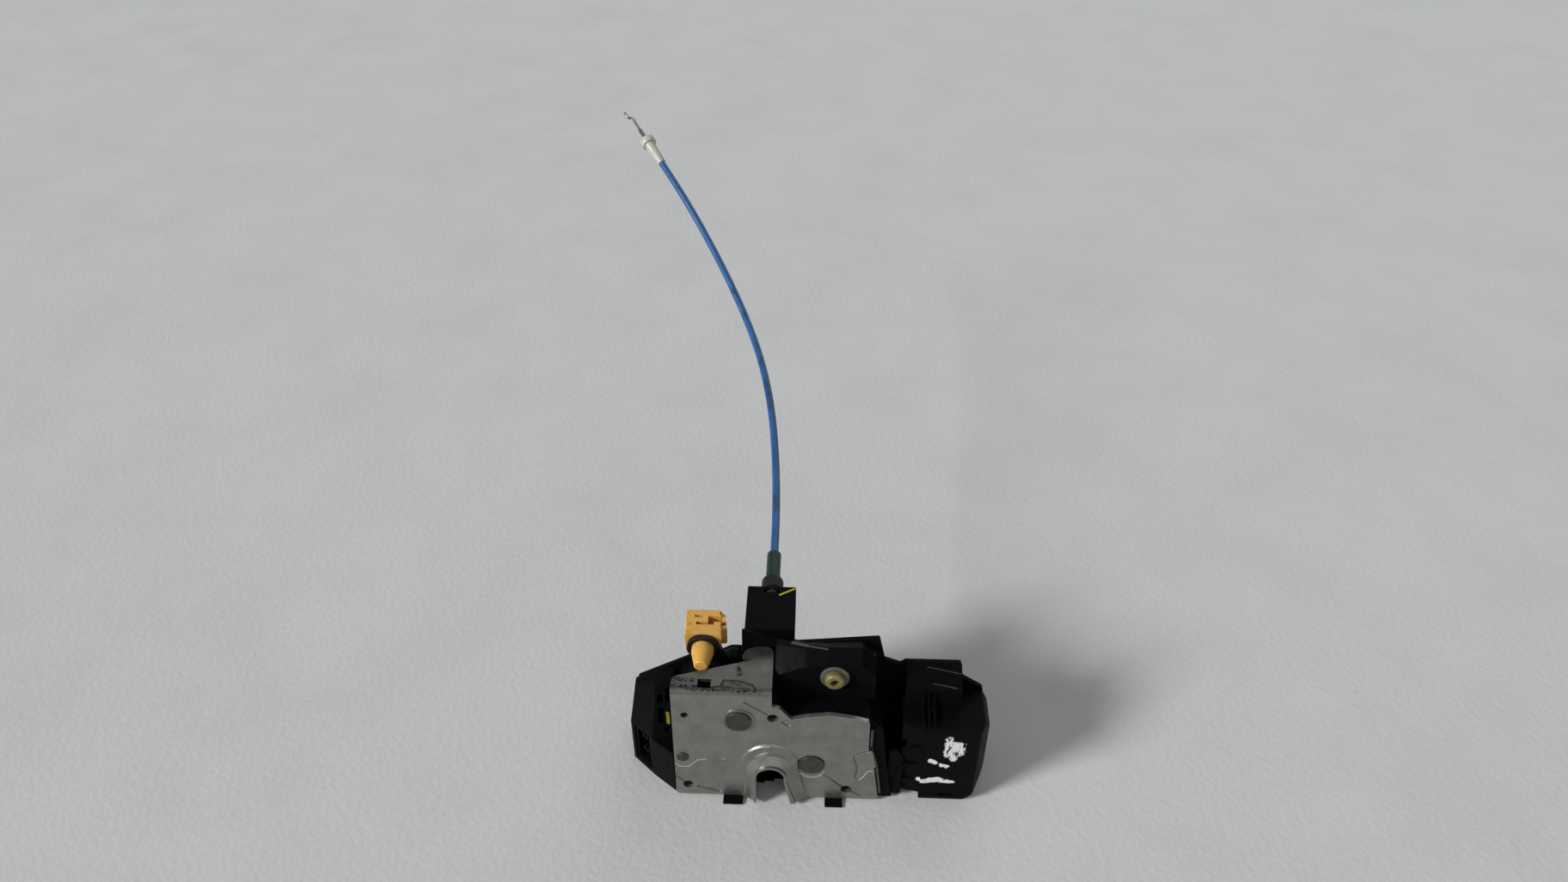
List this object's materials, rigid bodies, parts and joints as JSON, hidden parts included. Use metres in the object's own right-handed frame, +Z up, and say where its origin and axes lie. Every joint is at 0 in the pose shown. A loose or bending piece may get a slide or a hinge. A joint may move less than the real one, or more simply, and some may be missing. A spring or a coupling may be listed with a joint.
{
  "type": "car door lock",
  "caption": "Car door lock with pressed latch plate, striker slot, claw and pawl, release levers, rod clip, locking drive and a release cable with a hooked end.",
  "frame": {"origin": "middle of the striker slot's round end on the outer face of the latch plate", "axes": "+X to the right along the latch plate seen from outside, +Y into the lock, +Z up, from the slot's mouth to its round end"},
  "size_m": [0.2129, 0.3727, 0.1802],
  "materials": {
    "zinc_steel": "dull zinc-plated pressed steel",
    "rivet_steel": "plain rivet steel",
    "black_plastic": "moulded black glass-filled plastic",
    "hard_steel": "dark hardened steel, oiled",
    "spring_steel": "drawn spring wire",
    "yellow_zinc": "yellow passivated zinc",
    "amber_plastic": "translucent amber moulding",
    "blue_sheath": "extruded blue sheath",
    "green_plastic": "dark green moulded ferrule",
    "brown_rubber": "dark brown rubber",
    "nylon": "milky natural nylon",
    "motor_steel": "bright deep-drawn can",
    "brass": "tinned brass"
  },
  "bodies": {
    "lock": {"backing_plate": "zinc_steel", "cable_bracket": "black_plastic", "cable_end_sleeve": "nylon", "cable_ferrule": "green_plastic", "cable_grommet": "brown_rubber", "cable_sheath": "blue_sheath", "claw_rivet": "rivet_steel", "claw_spring": "spring_steel", "connector_housing": "black_plastic", "connector_pins": "brass", "contact_carrier": "black_plastic", "cover_screws": "rivet_steel", "cover_seal": "brown_rubber", "drive_case": "black_plastic", "inside_lever_pin": "rivet_steel", "latch_case": "black_plastic", "latch_plate": "zinc_steel", "lever_cover": "black_plastic", "lever_post": "nylon", "lever_rivet": "yellow_zinc", "lever_spring": "spring_steel", "locating_stud": "rivet_steel", "main_housing": "black_plastic", "motor_can": "motor_steel", "motor_end_cap": "black_plastic", "pawl_rivet": "rivet_steel", "pawl_spring": "spring_steel", "position_switches": "black_plastic", "rear_cover": "black_plastic", "rivet_washer": "rivet_steel", "striker_buffer": "brown_rubber", "wheel_axle": "rivet_steel"},
    "claw": {"claw_core": "hard_steel", "claw_jacket": "black_plastic"},
    "pawl": {"pawl_core": "hard_steel"},
    "outside_release": {"outside_lever": "hard_steel"},
    "clip": {"rod_clip": "amber_plastic"},
    "clip_snap": {"clip_arm": "amber_plastic"},
    "key": {"key_spindle": "hard_steel"},
    "motor_rotor": {"motor_pinion": "nylon"},
    "wheel": {"lock_wheel": "nylon"},
    "locking": {"locking_lever": "nylon"},
    "cable_rod": {"cable_end_fitting": "spring_steel"},
    "pull_wire": {"inner_wire": "spring_steel"},
    "inside_release": {"inside_lever": "hard_steel"}
  },
  "joints": [
    {"name": "claw_turn", "type": "hinge", "parent": "lock", "child": "claw", "pos_m": [0.0184, 0.00975, 0.0051], "axis": [0, 1, 0], "range_deg": [0, 40], "stiffness_Nm_per_rad": 0.03, "springref_deg": -34.38},
    {"name": "pawl_lift", "type": "hinge", "parent": "lock", "child": "pawl", "pos_m": [-0.0138, 0.00975, 0.034], "axis": [0, -1, 0], "range_deg": [0, 4.5]},
    {"name": "outside_lever_turn", "type": "hinge", "parent": "lock", "child": "outside_release", "pos_m": [0.0276, 0.02, 0.0506], "axis": [0, 1, 0], "range_deg": [0, 11], "stiffness_Nm_per_rad": 0.6, "springref_deg": -8.59},
    {"name": "clip_swivel", "type": "hinge", "parent": "outside_release", "child": "clip", "pos_m": [-0.0305, 0.024, 0.0536], "axis": [0, 1, 0], "range_deg": [-10, 10]},
    {"name": "clip_arm_turn", "type": "hinge", "parent": "clip", "child": "clip_snap", "pos_m": [-0.023, 0.0392, 0.0536], "axis": [0, 0, 1], "range_deg": [0, 35]},
    {"name": "key_turn", "type": "hinge", "parent": "lock", "child": "key", "pos_m": [-0.03, 0.044, -0.004], "axis": [0, 1, 0], "range_deg": [-45, 45], "stiffness_Nm_per_rad": 0.02},
    {"name": "lock_wheel_turn", "type": "hinge", "parent": "lock", "child": "wheel", "pos_m": [0.07145, 0.0135, 0.013], "axis": [0, 0, 1], "range_deg": [0, 90]},
    {"name": "motor_spin", "type": "hinge", "parent": "lock", "child": "motor_rotor", "pos_m": [0.083, 0.0135, 0.013], "axis": [0, 0, 1], "range_deg": [-250, 10]},
    {"name": "locking_lever_turn", "type": "hinge", "parent": "lock", "child": "locking", "pos_m": [0.08895, 0.0135, 0.017], "axis": [0, 0, 1], "range_deg": [-29.4, 1]},
    {"name": "cable_pull", "type": "slide", "parent": "lock", "child": "cable_rod", "axis": [-0.5223, 0.7668, 0.3731], "range_m": [0, 0.01]},
    {"name": "pull_wire_slide", "type": "slide", "parent": "lock", "child": "pull_wire", "axis": [0, 1, 0], "range_m": [0, 0.01]},
    {"name": "inside_lever_turn", "type": "hinge", "parent": "lock", "child": "inside_release", "pos_m": [-0.0014, 0.0385, 0.044], "axis": [-1, 0, 0], "range_deg": [0, 40.5]}
  ],
  "couplings": [
    {"joint": "pawl_lift", "follows": "outside_lever_turn", "ratio": 0.3893},
    {"joint": "motor_spin", "follows": "lock_wheel_turn", "ratio": -2.6667},
    {"joint": "locking_lever_turn", "follows": "lock_wheel_turn", "ratio": -0.31579},
    {"joint": "pull_wire_slide", "follows": "cable_pull", "ratio": 1},
    {"joint": "inside_lever_turn", "follows": "cable_pull", "rad_per_m": 70.423}
  ]
}
